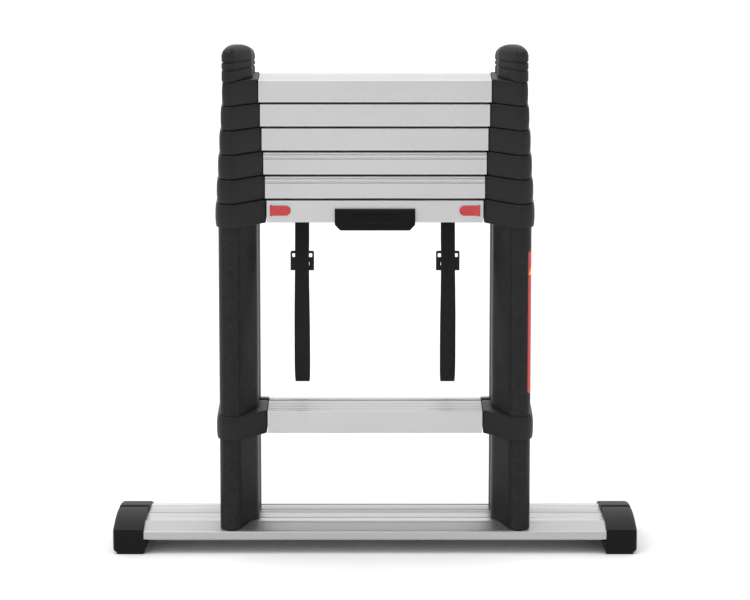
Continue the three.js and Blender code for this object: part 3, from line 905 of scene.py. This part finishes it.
def buckle_shape():
    """A strap buckle: two flat frames, one over the other, with the slots the webbing is threaded
    through. Each is an outline and its slot carried along Y."""
    parts = []
    half = 16.8
    for low, high, slot_low, slot_high, slot_half, corners in (
            (407.5, 420.0, 411.0, 416.4, 14.2, (0.02, 0.02, 2.6, 2.6)),
            (392.0, 407.5, 398.8, 404.2, 10.2, (1.2, 1.2, 0.02, 0.02))):
        outer = [(-half, low), (half, low), (half, high), (-half, high)]
        slot = [(-slot_half, slot_low), (slot_half, slot_low),
                (slot_half, slot_high), (-slot_half, slot_high)]
        outer = rounded_polygon([(x + STRAP_X, z, r) for (x, z), r in zip(outer, corners)])
        slot = rounded_polygon([(x + STRAP_X, z, 1.0) for x, z in slot])
        centre = np.array([STRAP_X, (low + high) / 2])
        wall = front_rows(outer, [(0.0, 0.0), (-3.0, 0.0)], centre)
        hole = front_rows(slot, [(-3.0, 0.0), (0.0, 0.0)], centre)
        parts.append(hoop(np.vstack([wall, hole])))
    return joined(*parts)


def flank_line(grow):
    """The outer flank of the lowest tube as an (x, y) line and its running length: round the nose,
    then straight towards the back."""
    count = 1440
    angle = 360 * (np.arange(count) + 0.5) / count
    ring = hull_ring(STILE_CORNERS, grow, count)
    line = np.vstack([ring[angle > NOSE_ANGLE], ring[angle < 0.6]])
    run = np.concatenate([[0], np.cumsum(np.linalg.norm(np.diff(line, axis=0), axis=1))])
    return line, run


def flank_patch(bounds, lift, columns=24):
    """A thin patch on the flank: for each height of bounds (z, from, to along the flank) a ring that
    runs out over the patch and back beneath it."""
    rows = []
    for z, start, stop in bounds:
        place = np.linspace(start, stop, columns)
        sheet = []
        for grow in (lift, 0.03):
            line, run = flank_line(grow)
            sheet.append(np.column_stack([np.interp(place, run, line[:, i]) for i in (0, 1)]))
        ring = np.vstack([sheet[0], sheet[1][::-1]])
        rows.append(lifted(ring, z))
    return capped(np.array(rows))


def label_shape():
    """The label: a flank patch between two heights, drawn in a little at the ends for round corners."""
    middle = (LABEL_LOW + LABEL_HIGH) / 2 + 1.0
    rounding = np.array([0.0, 0.3, 3.0])
    z = np.concatenate([LABEL_LOW + rounding, [middle], LABEL_HIGH - rounding[::-1]])
    inset = np.array([2.0, 1.0, 0.0, 0.0, 0.0, 1.0, 2.0])
    return flank_patch([(h, 1.0 + k, 55.0 - k) for h, k in zip(z, inset)], 0.16)


def triangle_shape():
    """The label's triangle: a flank patch whose width falls evenly from its base to its tip."""
    rise = np.linspace(0, 1, 8)
    half = 11.0 * (1 - rise) + 0.1
    bounds = [(TRIANGLE_LOW + TRIANGLE_HEIGHT * t, 13.0 - h, 13.0 + h) for t, h in zip(rise, half)]
    return flank_patch(bounds, 0.24)


def screw_shape():
    """A pan-head screw with a round drive recess, turned about the stile face's normal at its place."""
    ring = hull_ring(STILE_CORNERS, 0.0, 720)
    following = np.roll(ring, -1, axis=0)
    crossing = (ring[:, 0] <= SCREW_X) & (following[:, 0] > SCREW_X) & (ring[:, 1] < -40)
    hit = np.flatnonzero(crossing)[0]
    tangent = (following[hit] - ring[hit]) / np.linalg.norm(following[hit] - ring[hit])
    spot = ring[hit] + tangent * (SCREW_X - ring[hit, 0]) / tangent[0]
    normal = np.array([tangent[1], -tangent[0]])
    radius = np.array([3.9, 3.9, 3.6, 3.0, 2.1, 1.9, 1.8])
    height = np.array([-0.3, 0.5, 1.0, 1.25, 1.3, 0.4, 0.3])
    turn = np.linspace(0, 2 * np.pi, 28, endpoint=False)
    along = radius[:, None] * np.cos(turn)[None, :]
    up = radius[:, None] * np.sin(turn)[None, :]
    x = spot[0] + tangent[0] * along + normal[0] * height[:, None]
    y = spot[1] + tangent[1] * along + normal[1] * height[:, None]
    return capped(np.dstack([x, y, SCREW_Z + up]))


def smooth_line(knots, per_span):
    """A Catmull-Rom line through the knots, from its cubic blend for every span at once."""
    ends = np.vstack([2 * knots[0] - knots[1], knots, 2 * knots[-1] - knots[-2]])
    p0, p1, p2, p3 = ends[:-3], ends[1:-2], ends[2:-1], ends[3:]
    t = np.linspace(0, 1, per_span, endpoint=False)[None, :, None]
    a, b, c, d = (p[:, None, :] for p in (p0, p1, p2, p3))
    curve = 0.5 * (2 * b + (c - a) * t + (2 * a - 5 * b + 4 * c - d) * t ** 2
                   + (3 * b - a - 3 * c + d) * t ** 3)
    return np.vstack([curve.reshape(-1, 2), knots[-1]])


# ---------------------------------------------------------------- operators

class LadderOperator:
    """What every builder operator shares."""

    bl_options = {"REGISTER", "UNDO"}


class LADDER_OT_stage(LadderOperator, bpy.types.Operator):
    """Makes the floor, the soft studio light and the camera"""

    bl_idname = "ladder.stage"
    bl_label = "Stage"

    def execute(self, context):
        scene = context.scene
        camera_data = bpy.data.cameras.new("Camera")
        camera_data.lens, camera_data.sensor_width = CAMERA_LENS, 36.0
        camera = bpy.data.objects.new("Camera", camera_data)
        size = sizes()
        camera.location = (0.0, -size.camera_distance, size.camera_height)
        camera.rotation_euler = (math.pi / 2 - size.camera_pitch, 0.0, 0.0)
        scene.collection.objects.link(camera)
        scene.camera = camera
        scene.view_settings.view_transform = "Standard"
        self.floor(scene)
        self.sky(scene)
        self.sun(scene, "Overhead", (math.radians(20), math.radians(-14), 0.0), 1.35, 60.0)
        self.softbox(scene, "Key", (-1.5, -4.2, 2.1), (0.0, 0.0, 0.35), 2.6, 2.6, 28.0)
        self.softbox(scene, "Fill", (2.6, -3.2, 1.4), (0.0, 0.0, 0.4), 1.8, 1.8, 10.0)
        self.softbox(scene, "Left Edge", (-2.6, -0.9, 0.8), (0.0, 0.0, 0.4), 0.7, 1.9, 5.0)
        self.softbox(scene, "Right Edge", (2.6, -0.9, 0.8), (0.0, 0.0, 0.4), 0.7, 1.9, 5.0)
        return {"FINISHED"}

    @staticmethod
    def floor(scene):
        """A plain pale floor."""
        finish, tree, shader = blank_finish("Pale Floor", 0.0, 0.05)
        grain = use_group(tree, grain_group(), Scale=(60.0, 60.0, 60.0), Broad_Scale=1.5)
        vary(tree, shader, grey(0.95), grain, 0.98, 1.02, (0.86, 0.94), (0.02, 0.0002))
        mesh = bpy.data.meshes.new("Floor")
        mesh.from_pydata([(-30, -30, 0), (30, -30, 0), (30, 30, 0), (-30, 30, 0)], [], [(0, 1, 2, 3)])
        mesh.materials.append(finish)
        obj = bpy.data.objects.new("Floor", mesh)
        scene.collection.objects.link(obj)

    @staticmethod
    def sky(scene):
        """A soft world light that brightens evenly from below and in front to above and behind."""
        world = bpy.data.worlds.new("Studio")
        world.use_nodes = True
        tree = world.node_tree
        tree.nodes["Background"].inputs["Color"].default_value = (1.0, 1.0, 1.0, 1.0)
        way = node(tree, "ShaderNodeTexCoord")
        split = node(tree, "ShaderNodeSeparateXYZ")
        spread = node(tree, "ShaderNodeMapRange")
        spread.inputs["From Min"].default_value, spread.inputs["From Max"].default_value = -0.1, 0.7
        spread.inputs["To Min"].default_value, spread.inputs["To Max"].default_value = 0.3, 1.3
        tree.links.new(way.outputs["Generated"], split.inputs[0])
        behind = math_node(tree, "MULTIPLY", split.outputs["Y"], 0.7)
        above = math_node(tree, "MULTIPLY", split.outputs["Z"], 0.5)
        tree.links.new(math_node(tree, "ADD", behind, above), spread.inputs["Value"])
        tree.links.new(spread.outputs[0], tree.nodes["Background"].inputs["Strength"])
        scene.world = world

    @staticmethod
    def sun(scene, name, turn, strength, spread):
        """A sun lamp with a wide disc, for a soft shadow."""
        lamp = bpy.data.lights.new(name, "SUN")
        lamp.energy, lamp.angle = strength, math.radians(spread)
        obj = bpy.data.objects.new(name, lamp)
        obj.rotation_euler = turn
        scene.collection.objects.link(obj)

    @staticmethod
    def softbox(scene, name, place, aim, width, height, power):
        """A rectangular area lamp at a place, turned to face its aim."""
        lamp = bpy.data.lights.new(name, "AREA")
        lamp.shape, lamp.size, lamp.size_y, lamp.energy = "RECTANGLE", width, height, power
        obj = bpy.data.objects.new(name, lamp)
        direction = np.subtract(aim, place)
        yaw = math.atan2(direction[0], -direction[1])
        pitch = math.atan2(math.hypot(direction[0], direction[1]), -direction[2])
        obj.rotation_euler = (pitch, 0.0, math.pi + yaw)
        obj.location = place
        scene.collection.objects.link(obj)


class LADDER_OT_bars(LadderOperator, bpy.types.Operator):
    """Makes the two base bars"""

    bl_idname = "ladder.bars"
    bl_label = "Base bars"

    def execute(self, context):
        for section, turn in SECTIONS:
            add_piece(f"{section}_base_bar", placed(bar_shape(), 1, turn), finish_of("bar"),
                      body_of(section, 1), [f"{section}_bar"], 24)
        return {"FINISHED"}


class LADDER_OT_feet(LadderOperator, bpy.types.Operator):
    """Makes the four end feet with their soles"""

    bl_idname = "ladder.feet"
    bl_label = "End feet"

    def execute(self, context):
        for section, turn in SECTIONS:
            for name, side in SIDES:
                body = body_of(section, 1)
                foot = joined(foot_shape(), tongue_shape())
                add_piece(f"{section}_end_foot_{name}", placed(foot, side, turn), finish_of("rubber"), body,
                          [f"{section}_foot_{name}"], 30, 0.9)
                add_piece(f"{section}_sole_{name}", placed(sole_shape(), side, turn), finish_of("rubber"),
                          body)
        return {"FINISHED"}


class LADDER_OT_tubes(LadderOperator, bpy.types.Operator):
    """Makes the nested stile tubes"""

    bl_idname = "ladder.tubes"
    bl_label = "Stile tubes"

    def execute(self, context):
        for section, turn in SECTIONS:
            for stage in range(1, STAGES + 1):
                top = rung_z(section, stage + 1) - COLLAR_DROP + COLLAR_HEIGHT - 0.8
                shape = tube_shape(stage, TUBE_FOOT_Z + TUBE_FOOT_STEP * (stage - 2), top)
                for name, side in SIDES:
                    add_piece(f"{section}_tube_{stage}_{name}", placed(shape, side, turn),
                              finish_of("stile"), body_of(section, stage),
                              [f"{section}_stile_{stage}_{name}"])
        return {"FINISHED"}


class LADDER_OT_collars(LadderOperator, bpy.types.Operator):
    """Makes the moulded collars and the clamps of the lowest treads"""

    bl_idname = "ladder.collars"
    bl_label = "Collars and clamps"

    def execute(self, context):
        for section, turn in SECTIONS:
            for rung in range(1, RUNGS + 1):
                stage = max(1, rung - 1)
                inset = TUBE_STEP * (stage - 1)
                shape = collar_shape(section, rung, COLLAR_WALL - inset, 0.12 - inset)
                for name, side in SIDES:
                    kind = f"collar_{rung}" if rung > 1 else "tread_clamp"
                    replaced = [f"front_clamp_{name}"] if rung == 1 and section == "front" else []
                    add_piece(f"{section}_{kind}_{name}", placed(shape, side, turn), finish_of("plastic"),
                              body_of(section, stage), replaced)
        return {"FINISHED"}


class LADDER_OT_treads(LadderOperator, bpy.types.Operator):
    """Makes the fourteen treads"""

    bl_idname = "ladder.treads"
    bl_label = "Treads"

    def execute(self, context):
        for section, turn in SECTIONS:
            for rung in range(1, RUNGS + 1):
                add_piece(f"{section}_step_{rung}", placed(tread_shape(section, rung), 1, turn),
                          finish_of("aluminium"), body_of(section, max(1, rung - 1)),
                          [f"{section}_tread_{rung}"], 24)
        return {"FINISHED"}


class LADDER_OT_caps(LadderOperator, bpy.types.Operator):
    """Makes the top caps"""

    bl_idname = "ladder.caps"
    bl_label = "Top caps"

    def execute(self, context):
        for section, turn in SECTIONS:
            for name, side in SIDES:
                replaced = [f"top_cap_{name}"] if section == "front" else []
                shape = cap_shape(0.0 if section == "front" else REAR_CAP_DROP)
                add_piece(f"{section}_cap_{name}", placed(shape, side, turn), finish_of("plastic"),
                          body_of(section, STAGES), replaced, 30)
        return {"FINISHED"}


class LADDER_OT_hinge(LadderOperator, bpy.types.Operator):
    """Makes the hinge lugs and finishes the hinge pins and lock bolts"""

    bl_idname = "ladder.hinge"
    bl_label = "Hinge and bolts"

    def execute(self, context):
        for section, turn, lugs in (("front", 1, ((183, 188), (197, 202))), ("rear", -1, ((189, 196),))):
            for name, side in SIDES:
                shape = joined(*[lug_shape(x0, x1) for x0, x1 in lugs])
                add_piece(f"{section}_hinge_lug_{name}", placed(shape, side, turn), finish_of("plastic"),
                          body_of(section, STAGES), (), 30, 0.5)
        for name, _ in SIDES:
            for label in (f"hinge_pin_{name}", f"lock_bolt_{name}"):
                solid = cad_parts[label]
                solid.data.materials.clear()
                solid.data.materials.append(finish_of("steel"))
        return {"FINISHED"}


class LADDER_OT_straps(LadderOperator, bpy.types.Operator):
    """Makes the webbing straps with their woven UV"""

    bl_idname = "ladder.straps"
    bl_label = "Straps"

    def execute(self, context):
        for name, side in SIDES:
            (points, faces), uv, length = strap_shape()
            obj = add_piece(f"webbing_{name}", placed((points, faces), side, 1), finish_of("webbing"),
                            "front_base", [f"strap_{name}"], 40)
            flat = np.vstack([uv.reshape(-1, 2), uv[0].mean(0), uv[-1].mean(0)])
            corner = np.zeros(len(obj.data.loops), np.int32)
            obj.data.loops.foreach_get("vertex_index", corner)
            layer = obj.data.uv_layers.new(name="Weave")
            layer.data.foreach_set("uv", flat[corner].astype(np.float32).ravel())
        return {"FINISHED"}


class LADDER_OT_grip(LadderOperator, bpy.types.Operator):
    """Makes the grip handle on the second tread"""

    bl_idname = "ladder.grip"
    bl_label = "Grip handle"

    def execute(self, context):
        add_piece("grip", placed(grip_shape(), 1, 1), finish_of("grip"), "front_base",
                  ["grip_handle"], 28)
        return {"FINISHED"}


class LADDER_OT_buttons(LadderOperator, bpy.types.Operator):
    """Makes the two red release buttons"""

    bl_idname = "ladder.buttons"
    bl_label = "Release buttons"

    def execute(self, context):
        for name, side in SIDES:
            add_piece(f"release_tab_{name}", placed(button_shape(), side, 1), finish_of("red"),
                      f"release_{name}", [f"release_button_{name}"], 35)
        return {"FINISHED"}


class LADDER_OT_buckles(LadderOperator, bpy.types.Operator):
    """Makes the strap buckles"""

    bl_idname = "ladder.buckles"
    bl_label = "Strap buckles"

    def execute(self, context):
        for name, side in SIDES:
            add_piece(f"buckle_{name}", placed(buckle_shape(), side, 1), finish_of("plastic"),
                      "front_base", [f"strap_buckle_{name}"], 35, 0.35)
        return {"FINISHED"}


class LADDER_OT_screws(LadderOperator, bpy.types.Operator):
    """Makes the screws at the feet of the stiles"""

    bl_idname = "ladder.screws"
    bl_label = "Stile screws"

    def execute(self, context):
        for section, turn in SECTIONS:
            for name, side in SIDES:
                add_piece(f"{section}_stile_screw_{name}", placed(screw_shape(), side, turn),
                          finish_of("screw"), body_of(section, 1), (), 35)
        return {"FINISHED"}


class LADDER_OT_label(LadderOperator, bpy.types.Operator):
    """Makes the plain label on the right stile"""

    bl_idname = "ladder.label"
    bl_label = "Label"

    def execute(self, context):
        add_piece("label_panel", label_shape(), finish_of("label"), "front_base", (), 60)
        add_piece("label_triangle", triangle_shape(), finish_of("yellow"), "front_base",
                  (), 60)
        return {"FINISHED"}


def register():
    """Registers every class and the two groups of settings."""
    for item in CLASSES:
        bpy.utils.register_class(item)
    bpy.types.Scene.ladder_sizes = PointerProperty(type=LadderSizes)
    bpy.types.Scene.ladder_colours = PointerProperty(type=LadderColours)


def unregister():
    """Takes back what register did."""
    del bpy.types.Scene.ladder_colours
    del bpy.types.Scene.ladder_sizes
    for item in reversed(CLASSES):
        bpy.utils.unregister_class(item)


BUILDERS = (LADDER_OT_stage, LADDER_OT_bars, LADDER_OT_feet, LADDER_OT_tubes, LADDER_OT_collars,
            LADDER_OT_treads, LADDER_OT_caps, LADDER_OT_hinge, LADDER_OT_straps, LADDER_OT_buckles,
            LADDER_OT_grip, LADDER_OT_buttons, LADDER_OT_screws, LADDER_OT_label)


class LADDER_PT_panel(bpy.types.Panel):
    """Lists the builders and the settings in the sidebar"""

    bl_label = "Telescopic ladder"
    bl_space_type = "VIEW_3D"
    bl_region_type = "UI"
    bl_category = "Ladder"

    def draw(self, context):
        for builder in BUILDERS:
            self.layout.operator(builder.bl_idname)
        for settings in (context.scene.ladder_sizes, context.scene.ladder_colours):
            for name in settings.__annotations__:
                self.layout.prop(settings, name)


CLASSES = (LadderSizes, LadderColours) + BUILDERS + (LADDER_PT_panel,)


def main():
    """Builds every piece in order."""
    register()
    for builder in BUILDERS:
        group, action = builder.bl_idname.split(".")
        getattr(getattr(bpy.ops, group), action)()


if __name__ == "__main__":
    main()
